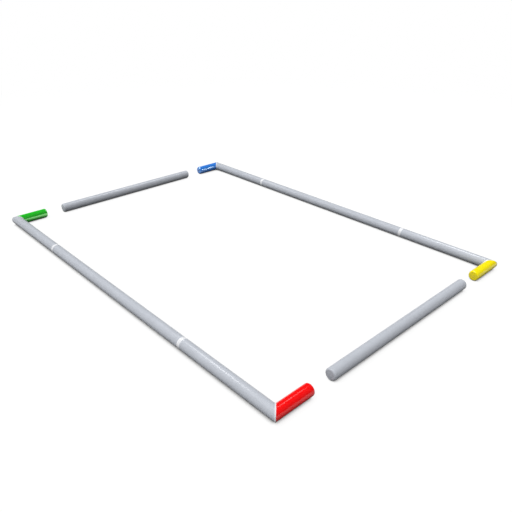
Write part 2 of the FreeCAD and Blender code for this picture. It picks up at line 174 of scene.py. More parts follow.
class BOUNDARY_PG_stage(bpy.types.PropertyGroup):
    """Camera, floor and lamps."""

    camera_place: place("Camera place", (11.7207, -9.9782, 7.6208), "Where the camera stands")
    camera_aim: direction("Camera aim", (-0.64888, 0.60418, -0.46252), "Way that it looks")
    lens: lens("Lens", 37.83, "Focal length in millimetres")
    floor_radius: length("Floor radius", 120.0, "Reach of the floor")
    fade_start: length("Fade start", 14.0, "Where the floor begins to fade to plain white")
    fade_end: length("Fade end", 30.0, "Where the floor is plain white")
    floor: share("Floor bounce", 0.03, "How much light the floor throws back on the object")
    lit: share("Lit floor", 0.15, "Share of the seen floor that the lamps light")
    # the seen floor's contact shadow is painted: ambient occlusion round the object darkens the
    # floor's glow, and no lamp casts it
    contact_reach: length("Contact reach", 1.5, "Reach of the contact shadow")
    contact_dark: share("Contact dark", 0.02, "Openness at which the floor is darkest")
    # the painted contact shadow leans: its occlusion looks towards a point this high above the
    # middle of the field, pulled this much along the runs, so it falls darker outside the field
    # than inside
    painted_shadow_lean_height: length("Light height", 22.0, "Height of the light that shapes it")
    painted_shadow_lean_pull: share("Light pull", 0.43, "Its pull towards the middle along the runs")
    contact_clear: share("Contact clear", 0.48, "Openness at which the floor is clear")
    # glossy rays see a wider, darker painted shade of the floor near the object
    gloss_dark: share("Gloss dark", 0.78, "The same in the gloss, darkest")
    gloss_clear: share("Gloss clear", 0.97, "The same in the gloss, clear")
    ambient: strength("Ambient", 0.69, "Even light from all round")
    ceiling: strength("Ceiling", 0.02, "What gloss shows of the room high above")
    key: strength("Key lamp", 1.86, "Strength of the overhead lamp")
    key_from: direction("Key from", (-0.15, -0.41, 0.9), "Way to the overhead lamp")
    key_spread: angle("Key spread", math.radians(60), "Apparent size of the overhead lamp")
    strip: strength("Strip lamps", 32.0, "Full brightness of the strips")
    strip_spread: angle("Strip spread", math.radians(110), "Beam of the strips")


SETTINGS = {
    "boundary_skin": BOUNDARY_PG_skin,
    "boundary_tape": BOUNDARY_PG_tape,
    "boundary_valve": BOUNDARY_PG_valve,
    "boundary_finish": BOUNDARY_PG_finish,
    "boundary_stage": BOUNDARY_PG_stage,
}


# -------------------------------------------------- helpers


def feed(tree, socket, value):
    """Link a field, socket or node's first output to an input, or set a plain value."""
    if isinstance(value, Field):
        value = value.socket
    if isinstance(value, bpy.types.Node):
        value = value.outputs[0]
    if isinstance(value, bpy.types.NodeSocket):
        tree.links.new(value, socket)
    else:
        socket.default_value = value


def add_node(tree, kind, inputs=None, **settings):
    """A new node with its settings made and its inputs fed, by name or by number."""
    made = tree.nodes.new(kind)
    for name, value in settings.items():
        setattr(made, name, value)
    for key, value in (inputs or {}).items():
        feed(tree, made.inputs[key], value)
    return made


def lead_out(tree, kind, last):
    """Link the last node to the tree's output node."""
    tree.links.new(last.outputs[0], tree.nodes.new(kind).inputs[0])


def cleared(owner):
    """The emptied node tree of a material or world."""
    owner.use_nodes = True
    owner.node_tree.nodes.clear()
    return owner.node_tree


def vertex_position(tree):
    return tree.nodes.new("GeometryNodeInputPosition").outputs[0]


def add_object(name, data):
    made = bpy.data.objects.new(name, data)
    bpy.context.scene.collection.objects.link(made)
    return made


class Field:
    """A number worked out by math nodes, in a geometry tree or in a material."""

    def __init__(self, tree, socket):
        self.tree = tree
        self.socket = socket

    def math(self, operation, *others):
        node = add_node(self.tree, "ShaderNodeMath", operation=operation)
        for socket, value in zip(node.inputs, (self, *others)):
            feed(self.tree, socket, value)
        return Field(self.tree, node.outputs[0])

    __add__ = partialmethod(math, "ADD")
    __sub__ = partialmethod(math, "SUBTRACT")
    __mul__ = partialmethod(math, "MULTIPLY")
    __truediv__ = partialmethod(math, "DIVIDE")
    least = partialmethod(math, "MINIMUM")
    most = partialmethod(math, "MAXIMUM")
    size = partialmethod(math, "ABSOLUTE")

    def __neg__(self):
        return self * -1.0

    def clamped(self, high=1.0):
        return self.most(0.0).least(high)

    def eased(self):
        """A share from 0 to 1 that leaves 0 and reaches 1 gently."""
        t = self.clamped()
        return t * t * (-t * 2.0 + 3.0)


def split(tree, vector):
    """The three fields of a vector socket."""
    parts = add_node(tree, "ShaderNodeSeparateXYZ", {0: vector})
    return tuple(Field(tree, socket) for socket in parts.outputs)


def joined(tree, x, y, z):
    return add_node(tree, "ShaderNodeCombineXYZ", {0: x, 1: y, 2: z}).outputs[0]


def noise(tree, vector, scale=1.0, detail=2.0):
    inputs = {"Vector": vector, "Scale": scale, "Detail": detail}
    return Field(tree, add_node(tree, "ShaderNodeTexNoise", inputs).outputs["Fac"])


def place_along(tree, origin, *steps):
    """Origin plus each (vector, distance) step."""
    total = origin
    for vector, distance in steps:
        step = add_node(tree, "ShaderNodeVectorMath", {0: vector, 3: distance}, operation="SCALE")
        total = add_node(tree, "ShaderNodeVectorMath", {0: total, 1: step})
    return total


# ------------------------------------------- geometry trees

SOCKETS = {
    "vector": "NodeSocketVector",
    "number": "NodeSocketFloat",
    "whole": "NodeSocketInt",
    "material": "NodeSocketMaterial",
    "mesh": "NodeSocketGeometry",
}
WELD_DISTANCE = 1e-5
SHARP_ANGLE = math.radians(50)


class Tree:
    """A geometry tree: its named inputs while it is built, and the pieces that it makes after."""

    def __init__(self, name, **inputs):
        self.group = bpy.data.node_groups.new(name, "GeometryNodeTree")
        self.names = {}
        for kind, names in inputs.items():
            for socket_name in names.split(", "):
                socket = self.group.interface.new_socket(
                    socket_name, in_out="INPUT", socket_type=SOCKETS[kind]
                )
                self.names[socket_name] = socket.identifier
        self.entry = self.group.nodes.new("NodeGroupInput")

    def __getitem__(self, name):
        return Field(self.group, self.entry.outputs[name])

    def grid(self, rows, columns):
        """A flat grid, and its two coordinates as fields from 0 to 1."""
        made = add_node(
            self.group,
            "GeometryNodeMeshGrid",
            {"Size X": 1.0, "Size Y": 1.0, "Vertices X": rows, "Vertices Y": columns},
        )
        x, y, _ = split(self.group, vertex_position(self.group))
        return made.outputs["Mesh"], x + 0.5, y + 0.5

    def with_uv(self, mesh, u, v):
        """Store a surface map in metres, for patterns that follow the fabric."""
        return add_node(
            self.group,
            "GeometryNodeStoreNamedAttribute",
            {"Geometry": mesh, "Name": "UVMap", "Value": joined(self.group, u, v, 0.0)},
            data_type="FLOAT2",
            domain="CORNER",
        )

    def placed(self, mesh, origin, *steps):
        """Put each vertex at the origin plus its (vector, distance) steps, close seams, end."""
        position = place_along(self.group, self[origin], *steps)
        moved = add_node(self.group, "GeometryNodeSetPosition", {0: mesh, "Position": position})
        inputs = {0: moved, "Distance": WELD_DISTANCE}
        return self.end(add_node(self.group, "GeometryNodeMergeByDistance", inputs))

    def end(self, mesh):
        """Close the tree: smooth, plain mesh with the material set."""
        tree = self.group
        tree.interface.new_socket("Mesh", in_out="OUTPUT", socket_type=SOCKETS["mesh"])
        smooth = add_node(tree, "GeometryNodeSetShadeSmooth", {0: mesh})
        real = add_node(tree, "GeometryNodeRealizeInstances", {0: smooth})
        inputs = {0: real, "Material": self["Material"]}
        finished = add_node(tree, "GeometryNodeSetMaterial", inputs)
        lead_out(tree, "NodeGroupOutput", finished)
        return self

    def grow(self, name, wall=0.0, **values):
        """One piece of the tree's shape, as a plain mesh, with a wall inwards if asked."""
        piece = add_object(name, bpy.data.meshes.new(name))
        shape = piece.modifiers.new("Shape", "NODES")
        shape.node_group = self.group
        for key, value in values.items():
            shape[self.names[key.replace("_", " ").capitalize()]] = value
        if wall:
            shell = piece.modifiers.new("Wall", "SOLIDIFY")
            shell.thickness = wall
            shell.offset = -1
        graph = bpy.context.evaluated_depsgraph_get()
        mesh = bpy.data.meshes.new_from_object(piece.evaluated_get(graph))
        if not mesh.polygons:
            raise RuntimeError(f"{name} came out empty")
        mesh.set_sharp_from_angle(angle=SHARP_ANGLE)
        while mesh.materials[0] is None:  # the grid's own slot, which no face uses
            mesh.materials.pop(index=0)
        piece.modifiers.clear()
        piece.data = mesh
        return piece


LEAST_RIM = 1e-6  # keeps the division by a rim's radius whole where an end has no rim
UP = tuple(Z)
COIL_STEPS = 32


def pucker(tree, cosine, sine, distance, depth, seed):
    """How far the skin draws in beside a seam: creases that run from the seam and die out."""
    around, along = 5.0, 7.0
    crease_slope, crease_share = 9.0, 0.6
    hollow_slope, hollow_share = 3.0, 0.4
    spot = joined(tree.group, cosine * around, sine * around, seed + distance * along)
    wave = noise(tree.group, spot) - 0.5
    crease = (-(wave.size() * crease_slope) + 1.0).clamped()
    hollow = (wave * hollow_slope).clamped()
    fading = (-(distance / tree["Pucker reach"])).math("EXPONENT")
    return (crease * crease_share + hollow * hollow_share) * fading * depth


def end_profile(arc, rim, turn_in):
    """A skin's ring at an arc length from its edge: station, loss of radius, rim, tube part."""
    margin = arc.least(turn_in)
    bend = ((arc - turn_in) / rim.most(LEAST_RIM)).clamped(QUARTER_TURN)
    straight = (arc - turn_in - rim * QUARTER_TURN).most(0.0)
    station = rim * (-bend.math("COSINE") + 1.0) + straight
    grown = bend.math("SINE")
    narrowing = (rim + turn_in) - margin - rim * grown
    return station, narrowing, grown, straight


@cache
def skin_tree():
    """Inflated tube between two ends that are plain, mitred or turned in over a rim."""
    tree = Tree(
        "Inflated skin",
        vector="Origin, Along, Across",
        number="Length, Radius, Start rim, Start turn in, End rim, End turn in, Start mitre,"
        " End mitre, Start pucker, End pucker, Pucker reach, Start seed, End seed, Lap angle,"
        " Lap width, Lap height",
        whole="Rings, Sides",
        material="Material",
    )
    mesh, u, v = tree.grid(tree["Rings"], tree["Sides"] + 1.0)
    quarter_loss = QUARTER_TURN - 1

    lost_at_start = tree["Start turn in"] + tree["Start rim"] * quarter_loss
    lost_at_end = tree["End turn in"] + tree["End rim"] * quarter_loss
    whole = tree["Length"] + lost_at_start + lost_at_end
    crowding = 0.86  # rings stand closer together towards both ends
    arc = whole * (u - (u * FULL_TURN).math("SINE") * (crowding / FULL_TURN))
    back_arc = whole - arc
    start, narrow_start, grown_start, from_start = end_profile(
        arc, tree["Start rim"], tree["Start turn in"]
    )
    back, narrow_end, grown_end, from_end = end_profile(
        back_arc, tree["End rim"], tree["End turn in"]
    )
    station = start - lost_at_end + (back_arc - back)

    # vertices stand closer together round the lap seam, where the grid also closes
    lap_crowding = 0.75
    turned = v - (v * FULL_TURN).math("SINE") * (lap_crowding / FULL_TURN)
    theta = tree["Lap angle"] - turned * FULL_TURN
    cosine, sine = theta.math("COSINE"), theta.math("SINE")
    round_lap = turned * FULL_TURN * tree["Radius"]
    step_width = 0.002
    rise = (round_lap / step_width).clamped()
    fall = ((round_lap - tree["Lap width"]) / tree["Lap width"]).eased()
    lap = tree["Lap height"] * rise * (-fall + 1.0) * grown_start * grown_end

    drawn_in = 0.0
    for end, distance, grown in (("Start", from_start, grown_start), ("End", from_end, grown_end)):
        mitre = tree[f"{end} mitre"]
        inner_side = mitre - mitre.size() + 1.0
        depth = tree[f"{end} pucker"] * grown
        drawn = pucker(tree, cosine * inner_side, sine, distance, depth, tree[f"{end} seed"])
        drawn_in = drawn + drawn_in
    radius = tree["Radius"] - narrow_start - narrow_end - drawn_in + lap

    lean_radii = 4.0  # how far from a mitre the rings stand upright again
    fade = tree["Radius"] * lean_radii
    lean_start = tree["Start mitre"] * (-(arc / fade) + 1.0).clamped()
    lean_end = tree["End mitre"] * (-(back_arc / fade) + 1.0).clamped()
    lean = (lean_start - lean_end) * tree["Radius"] * cosine

    mesh = tree.with_uv(mesh, station, turned * FULL_TURN * tree["Radius"])
    return tree.placed(
        mesh,
        "Origin",
        (tree["Along"], station + lean),
        (tree["Across"], radius * cosine),
        (UP, radius * sine),
    )


def tape_lift(across, seat, wall, taper):
    """Height of a tape above the skin: full in the middle, thinned out at both edges."""
    return seat + wall * ((-across.size() + 1.0) / taper).eased()


def tape_parts(name, vectors, way, stretch):
    """What both tapes share: tree, mesh, distance from the seam, radius times cosine and sine."""
    tree = Tree(
        name,
        vector=vectors,
        number="Radius, Width, Seat, Tape wall, Taper, Pucker, Pucker reach, Seed",
        whole="Rows, Sides",
        material="Material",
    )
    mesh, u, v = tree.grid(tree["Rows"], tree["Sides"] + 1.0)
    across = u * 2.0 - 1.0
    theta = v * (FULL_TURN * way)
    cosine, sine = theta.math("COSINE"), theta.math("SINE")
    distance = across * tree["Width"] * (0.5 * stretch)
    drawn = pucker(tree, cosine, sine, distance.size(), tree["Pucker"], tree["Seed"])
    lift = tape_lift(across, tree["Seat"], tree["Tape wall"], tree["Taper"])
    radius = tree["Radius"] - drawn + lift
    mesh = tree.with_uv(mesh, distance, v * FULL_TURN * tree["Radius"])
    return tree, mesh, distance, radius * cosine, radius * sine


@cache
def band_tree():
    """Tape wrapped round a straight seam."""
    tree, mesh, distance, level, height = tape_parts("Welded band", "Origin, Along, Across", -1, 1)
    return tree.placed(
        mesh, "Origin", (tree["Along"], distance), (tree["Across"], level), (UP, height)
    )


@cache
def mitre_tree():
    """Tape folded over a mitred seam: one half lies on the run, the other on the return."""
    tree, mesh, distance, level, height = tape_parts(
        "Mitre tape", "Corner, Along run, Along return", 1, math.sqrt(2)
    )
    return tree.placed(
        mesh,
        "Corner",
        (tree["Along run"], level + (-distance).most(0.0)),
        (tree["Along return"], level + distance.most(0.0)),
        (UP, height),
    )


@cache
def disc_tree():
    """End disc that the air pushes out, flat where a valve's flange clamps it."""
    tree = Tree(
        "End disc",
        vector="Origin, Outward, Across",
        number="Radius, Hole, Bulge, Bulge middle, Bulge half, Pucker, Pucker reach, Seed",
        whole="Rings, Sides",
        material="Material",
    )
    mesh, u, v = tree.grid(tree["Rings"], tree["Sides"] + 1.0)
    reach = tree["Hole"] + (tree["Radius"] - tree["Hole"]) * u
    theta = v * FULL_TURN
    cosine, sine = theta.math("COSINE"), theta.math("SINE")
    off_middle = ((reach - tree["Bulge middle"]) / tree["Bulge half"]).size().clamped()
    dome = -(off_middle * off_middle) + 1.0
    from_edge = (tree["Bulge middle"] + tree["Bulge half"] - reach).most(0.0)
    drawn = pucker(tree, cosine, sine, from_edge, tree["Pucker"], tree["Seed"])
    off_axis = reach / tree["Radius"]
    height = tree["Bulge"] * dome * dome - drawn * dome * off_axis
    mesh = tree.with_uv(mesh, reach * cosine, reach * sine)
    return tree.placed(
        mesh,
        "Origin",
        (tree["Outward"], height),
        (tree["Across"], reach * cosine),
        (UP, reach * sine),
    )


def stand(tree, mesh):
    """Set a mesh made round its own Z axis on a valve: its X goes up, its Z outward."""
    group = tree.group
    x, y, z = split(group, vertex_position(group))
    steps = (UP, x), (tree["Sideways"], y), (tree["Outward"], z)
    placed = place_along(group, tree["Origin"], *steps)
    return add_node(group, "GeometryNodeSetPosition", {0: mesh, "Position": placed})


@cache
def coil_tree():
    """Flat wire wound round the valve's axis."""
    tree = Tree(
        "Valve spring",
        vector="Origin, Outward, Sideways",
        number="Coil radius, Height, Turns, Wire width, Wire height",
        material="Material",
    )
    group = tree.group
    spiral = add_node(
        group,
        "GeometryNodeCurveSpiral",
        {
            "Resolution": COIL_STEPS,
            "Rotations": tree["Turns"],
            "Start Radius": tree["Coil radius"],
            "End Radius": tree["Coil radius"],
            "Height": tree["Height"],
        },
    )
    upright = add_node(group, "GeometryNodeSetCurveNormal", {0: spiral}, mode="Z_UP")
    wire = add_node(
        group,
        "GeometryNodeCurvePrimitiveQuadrilateral",
        {"Width": tree["Wire width"], "Height": tree["Wire height"]},
    )
    wound = add_node(
        group,
        "GeometryNodeCurveToMesh",
        {"Curve": upright, "Profile Curve": wire, "Fill Caps": True},
    )
    return tree.end(stand(tree, wound))


@cache
def rib_tree():
    """Grip ribs round a cap, left out beside the hinge and the thumb tab."""
    tree = Tree(
        "Grip ribs",
        vector="Origin, Outward, Sideways",
        number="Radius, Low, High, Rib width, Rib height",
        whole="Ribs",
        material="Material",
    )
    group = tree.group
    ring = add_node(
        group, "GeometryNodeMeshCircle", {"Vertices": tree["Ribs"], "Radius": tree["Radius"]}
    )
    position = vertex_position(group)
    _, y, _ = split(group, position)
    ribbed_from = 0.5  # share of the radius off the middle plane
    beside = add_node(
        group,
        "FunctionNodeCompare",
        {"A": y.size(), "B": tree["Radius"] * ribbed_from},
        operation="GREATER_THAN",
    )
    tall = tree["High"] - tree["Low"]
    size = joined(group, tree["Rib height"] * 2.0, tree["Rib width"], tall)
    bar = add_node(group, "GeometryNodeMeshCube", {"Size": size})
    facing = add_node(
        group, "FunctionNodeAlignRotationToVector", {"Vector": position}, axis="X", pivot_axis="Z"
    )
    ribs = add_node(
        group,
        "GeometryNodeInstanceOnPoints",
        {
            "Points": ring,
            "Selection": beside.outputs["Result"],
            "Instance": bar.outputs["Mesh"],
            "Rotation": facing,
        },
    )
    middle = joined(group, 0.0, 0.0, (tree["Low"] + tree["High"]) * 0.5)
    raised = add_node(group, "GeometryNodeTransform", {0: ribs, "Translation": middle})
    real = add_node(group, "GeometryNodeRealizeInstances", {0: raised})
    return tree.end(stand(tree, real))


# ------------------------------------------------- finishes


class Finish:
    """A material under construction round one principled shader."""

    def __init__(self, name):
        self.material = bpy.data.materials.new(f"{name}_finish")
        self.tree = cleared(self.material)
        self.shader = self.tree.nodes.new("ShaderNodeBsdfPrincipled")
        lead_out(self.tree, "ShaderNodeOutputMaterial", self.shader)
        self.bumps = None

    def space(self):
        """Coordinates of the piece's own space, in metres."""
        return self.tree.nodes.new("ShaderNodeTexCoord").outputs["Object"]

    def surface(self):
        """The two fields of the piece's surface map, in metres."""
        return split(self.tree, add_node(self.tree, "ShaderNodeUVMap", uv_map="UVMap"))[:2]

    def shades(self, share_of_light, tone, dark, light):
        """A colour between two shades of a tone, by a field."""
        mix = add_node(self.tree, "ShaderNodeMix", data_type="RGBA")
        feed(self.tree, mix.inputs["Factor"], share_of_light)
        for socket, factor in ((6, dark), (7, light)):
            shade = (min(1.0, part * factor) for part in tone)
            feed(self.tree, mix.inputs[socket], (*shade, 1.0))
        return mix.outputs[2]

    def bump(self, height, depth):
        """Add relief: a height field from 0 to 1, and its depth in metres."""
        made = add_node(
            self.tree, "ShaderNodeBump", {"Strength": 1.0, "Distance": depth, "Height": height}
        )
        if self.bumps:
            feed(self.tree, made.inputs["Normal"], self.bumps)
        self.bumps = made.outputs[0]

    def finished(self, **sockets):
        """Set the shader's sockets, by name, and give the material."""
        for name, value in sockets.items():
            feed(self.tree, self.shader.inputs[name.replace("_", " ")], value)
        if self.bumps:
            feed(self.tree, self.shader.inputs["Normal"], self.bumps)
        return self.material


def vinyl(name, tone, roughness, sheen, index, relief, tint=(1.0, 1.0, 1.0)):
    """Coated fabric: a faint weave under a smooth coating, with soft mottling."""
    settings = bpy.context.scene.boundary_finish
    finish = Finish(name)
    tree = finish.tree
    space = finish.space()
    unevenness = 0.5  # of the roughness
    mottle = noise(tree, space, scale=2.3, detail=3.0)
    peel = noise(tree, space, scale=55.0)
    u, v = finish.surface()
    thread = FULL_TURN / settings.weave_pitch
    weave = (u * thread).math("SINE") * (v * thread).math("SINE") * 0.5 + 0.5
    finish.bump(weave, settings.weave_depth * relief)
    finish.bump(peel, settings.peel_depth * relief)
    colours = finish.shades(mottle, tone, dark=0.95, light=1.05)
    rough = ((peel - 0.5) * unevenness + (mottle - 0.5) * unevenness + 1.0) * roughness
    return finish.finished(
        Base_Color=colours,
        Roughness=rough,
        Specular_IOR_Level=sheen,
        IOR=index,
        Specular_Tint=(*tint, 1.0),
    )


def moulded(name, tone, roughness):
    """Injection-moulded plastic with a fine spark-eroded grain and scuffs from handling."""
    finish = Finish(name)
    tree = finish.tree
    space = finish.space()
    grain = noise(tree, space, scale=1400.0)
    flow = noise(tree, space, scale=60.0, detail=3.0)
    finish.bump(grain, depth=0.00004)
    scuffed_from, scuff_slope = 0.56, 8.0
    scuff_pales, flow_pales = 0.3, 0.4
    grain_roughens, flow_roughens, scuff_roughens = 0.2, 0.1, 0.08
    scuff = noise(tree, space, scale=260.0, detail=4.0)
    scuff = ((scuff - scuffed_from) * scuff_slope).clamped()
    paling = scuff * scuff_pales + flow * flow_pales
    colours = finish.shades(paling, tone, dark=0.9, light=1.3)
    rough = (grain - 0.5) * grain_roughens + (flow - 0.5) * flow_roughens
    rough = rough + scuff * scuff_roughens + roughness
    return finish.finished(Base_Color=colours, Roughness=rough, Specular_IOR_Level=0.5)


def drawn_steel(name, tone):
    """Stainless wire with fine drawing lines."""
    finish = Finish(name)
    tree = finish.tree
    x, y, z = split(tree, finish.space())
    along, across = 300.0, 4000.0
    smoothest, spread = 0.18, 0.2
    lines = noise(tree, joined(tree, x * along, y * across, z * along))
    finish.bump(lines, depth=0.00001)
    colours = finish.shades(lines, tone, dark=0.9, light=1.1)
    rough = lines * spread + smoothest
    return finish.finished(Base_Color=colours, Metallic=1.0, Roughness=rough)


@cache
def make_finishes():
    """Every material of the object, by the record's slot names."""
    settings = bpy.context.scene.boundary_finish
    coated_relief = 0.06  # of the grey vinyl's
    grey, white, satin = settings.grey, settings.white, settings.satin
    made = {
        "grey_vinyl": vinyl("grey_vinyl", grey, satin, sheen=0.16, index=1.5, relief=1.0),
        "white_tape": vinyl("white_tape", white, satin, sheen=0.3, index=1.5, relief=1.0),
        "valve_plastic": moulded("valve_plastic", settings.body, roughness=0.42),
        "cap_plastic": moulded("cap_plastic", settings.cap, roughness=0.38),
        "stainless_wire": drawn_steel("stainless_wire", settings.steel),
    }
    glossy = (  # colour, sheen, index of refraction, tint of the gloss
        ("red", 0.5, 1.5, (1.0, 1.0, 1.0)),
        ("yellow", 0.5, 1.5, (1.0, 1.0, 1.0)),
        ("green", 1.0, 2.6, (0.55, 1.0, 0.5)),
        ("blue", 1.0, 1.8, (0.75, 0.95, 1.0)),
    )
    for name, sheen, index, tint in glossy:
        tone = getattr(settings, name)
        slot = f"{name}_vinyl"
        made[slot] = vinyl(slot, tone, settings.gloss, sheen, index, coated_relief, tint)
    return made


def finishes(slot):
    """The material of a slot."""
    return make_finishes()[slot]


# ------------------------------------------------ operators


TAPE_ROWS = 17
DISC_RINGS = 28
DISC_PUCKER_REACH = 0.03
HOLE_IN_FLANGE = 0.74  # radius of a disc's hole, as a share of the flange's
# node of each end disc, its outward way along Y and the body that it is on
DISCS = (
    ("green_end_disc", 1, "boundary"),
    ("red_end_disc", 1, "boundary"),
    ("blue_end_disc", -1, "boundary"),
    ("yellow_end_disc", -1, "boundary"),
    ("back_tube_left_disc", -1, "back_tube"),
    ("back_tube_right_disc", 1, "back_tube"),
    ("front_tube_left_disc", -1, "front_tube"),
    ("front_tube_right_disc", 1, "front_tube"),
)
VALVE_SLOTS = {
    "body": "valve_plastic",
    "nut": "valve_plastic",
    "stem": "valve_plastic",
    "cap": "cap_plastic",
    "pin": "stainless_wire",
}


def settle(piece, slot, body, *nodes):
    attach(piece, body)
    if nodes:
        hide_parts(*nodes)
    return piece


def picked(settings, names):
    """Settings that go into a tree under their own names."""
    return {name: getattr(settings, name) for name in names.split(", ")}


def span(node):
    """Middle of a node's box, and half its size."""
    low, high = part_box(node)
    return (low + high) / 2, (high - low) / 2


class End:
    """How one end of a skin is made: its mitre side, or a rim, and the seed of its puckers."""

    def __init__(self, seed, mitre=0, rimmed=False):
        self.seed = seed
        self.mitre = mitre
        self.rimmed = rimmed

    def values(self, side, skin):
        """The tree's inputs for this end."""
        depth = skin.mitre_pucker if self.mitre else skin.seam_pucker
        return {
            f"{side}_rim": skin.rim_radius if self.rimmed else 0.0,
            f"{side}_turn_in": skin.rim_turn_in if self.rimmed else 0.0,
            f"{side}_mitre": float(self.mitre),
            f"{side}_pucker": skin.rim_pucker if self.rimmed else depth,
            f"{side}_seed": float(self.seed),
        }


def make_skin(node, slot, body, along, start, end):
    """Replace one tube's solid by its inflated skin."""
    skin = bpy.context.scene.boundary_skin
    low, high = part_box(node)
    middle, half = span(node)
    # a mitred end's box reaches a radius past its corner
    first = low.dot(along) + (half.z if start.mitre else 0)
    last = high.dot(along) - (half.z if end.mitre else 0)
    origin = middle + along * (first - middle.dot(along))
    piece = skin_tree().grow(
        f"{node}_vinyl",
        wall=skin.wall,
        origin=origin,
        along=along,
        across=Z.cross(along),
        length=last - first,
        radius=half.z,
        **start.values("start", skin),
        **end.values("end", skin),
        **picked(skin, "pucker_reach, lap_angle, lap_width, lap_height, rings, sides"),
        material=finishes(slot),
    )
    return settle(piece, slot, body, node)


class BOUNDARY_OT_skins(bpy.types.Operator):
    """Make the inflated skins of the long runs and of the loose tubes"""

    bl_idname = "boundary.skins"
    bl_label = "Inflated Skins"

    def execute(self, context):
        for name, inward, back, front in RUNS:
            self.make_run(name, inward, back, front)
        for tube, seeds in TUBE_SEEDS.items():
            ends = (End(seed, rimmed=True) for seed in seeds)
            make_skin(f"{tube}_skin", "grey_vinyl", tube, Y, *ends)
        return {"FINISHED"}

    def make_run(self, name, inward, back, front):
        """Three grey panels and the two coloured returns of one long run."""
        back_joint, front_joint = SEAM_SEEDS[f"{name}_back"], SEAM_SEEDS[f"{name}_front"]
        back_mitre, front_mitre = End(SEAM_SEEDS[back], inward), End(SEAM_SEEDS[front], inward)
        panels = (
            ("back", back_mitre, End(back_joint)),
            ("mid", End(back_joint), End(front_joint)),
            ("front", End(front_joint), front_mitre),
        )
        for part, start, end in panels:
            make_skin(f"{name}_panel_{part}", "grey_vinyl", "boundary", X, start, end)
        for tone, side in ((back, -1), (front, 1)):
            seed = SEAM_SEEDS[tone]
            ends = (End(seed, side), End(seed + RIM_SEED_STEP, rimmed=True))
            if inward < 0:  # this return reaches its corner at the high end
                ends = ends[::-1]
            make_skin(f"{tone}_return", f"{tone}_vinyl", "boundary", Y, *ends)


class BOUNDARY_OT_tapes(bpy.types.Operator):
    """Make the white bands and the tapes over the mitred corners"""

    bl_idname = "boundary.tapes"
    bl_label = "Welded Tapes"

    def execute(self, context):
        for name, inward, back, front in RUNS:
            for end in ("back", "front"):
                self.make_band(name, end)
            for tone, away in ((back, X), (front, -X)):
                self.make_mitre(tone, away, Y * inward)
        return {"FINISHED"}

    def make_band(self, name, end):
        node = f"{name}_band_{end}"
        middle, half = span(node)
        self.make_tape(
            band_tree(),
            (node, "tape", f"{name}_{end}"),
            origin=middle,
            along=X,
            across=Y,
            radius=span(f"{name}_panel_mid")[1].z,
            width=half.x * 2,
            pucker=bpy.context.scene.boundary_skin.seam_pucker,
        )

    def make_mitre(self, tone, away, inward):
        middle, half = span(f"{tone}_return")
        corner_y = middle.y - (half.y - half.z) * inward.y
        self.make_tape(
            mitre_tree(),
            (f"{tone}_mitre_tape", "strip", tone),
            corner=Vector((middle.x, corner_y, middle.z)),
            along_run=away,
            along_return=inward,
            radius=half.z,
            width=bpy.context.scene.boundary_tape.mitre_width,
            pucker=bpy.context.scene.boundary_skin.mitre_pucker,
        )

    def make_tape(self, tree, names, **form):
        """One tape: its node, the ending of its own name and its seam, and its form."""
        scene = bpy.context.scene
        skin, tape = scene.boundary_skin, scene.boundary_tape
        node, ending, seam = names
        piece = tree.grow(
            f"{node}_{ending}",
            wall=tape.seat,
            tape_wall=tape.wall,
            seed=float(SEAM_SEEDS[seam]),
            rows=TAPE_ROWS,
            **picked(tape, "seat, taper"),
            **picked(skin, "pucker_reach, sides"),
            material=finishes("white_tape"),
            **form,
        )
        settle(piece, "white_tape", "boundary", node)


def disc_face(node, way):
    """Middle of a disc's outer face."""
    middle, half = span(node)
    return middle + Y * (half.y * way)


class BOUNDARY_OT_discs(bpy.types.Operator):
    """Make the end discs, bulged by the air inside"""

    bl_idname = "boundary.discs"
    bl_label = "End Discs"

    def execute(self, context):
        skin = context.scene.boundary_skin
        opening = span("front_tube_skin")[1].x - skin.rim_radius - skin.rim_turn_in
        valves = {disc: name for name, disc, _, _ in VALVES}
        for seed, (node, way, body) in enumerate(DISCS, start=FIRST_DISC_SEED):
            valve = valves.get(node)
            flange = span(f"{valve}_valve_body")[1].x if valve else 0.0
            tone = node.split("_")[0] if body == "boundary" else "grey"
            slot = f"{tone}_vinyl"
            piece = disc_tree().grow(
                f"{node}_vinyl",
                wall=skin.wall,
                origin=disc_face(node, way),
                outward=Y * way,
                across=X * -way,
                radius=span(node)[1].x,
                hole=flange * HOLE_IN_FLANGE,
                bulge=skin.disc_bulge,
                bulge_middle=(opening + flange) / 2 if valve else 0.0,
                bulge_half=(opening - flange) / 2 if valve else opening,
                pucker=skin.seam_pucker,
                pucker_reach=DISC_PUCKER_REACH,
                seed=float(seed),
                rings=DISC_RINGS,
                sides=skin.sides,
                material=finishes(slot),
            )
            settle(piece, slot, body, node)
        return {"FINISHED"}


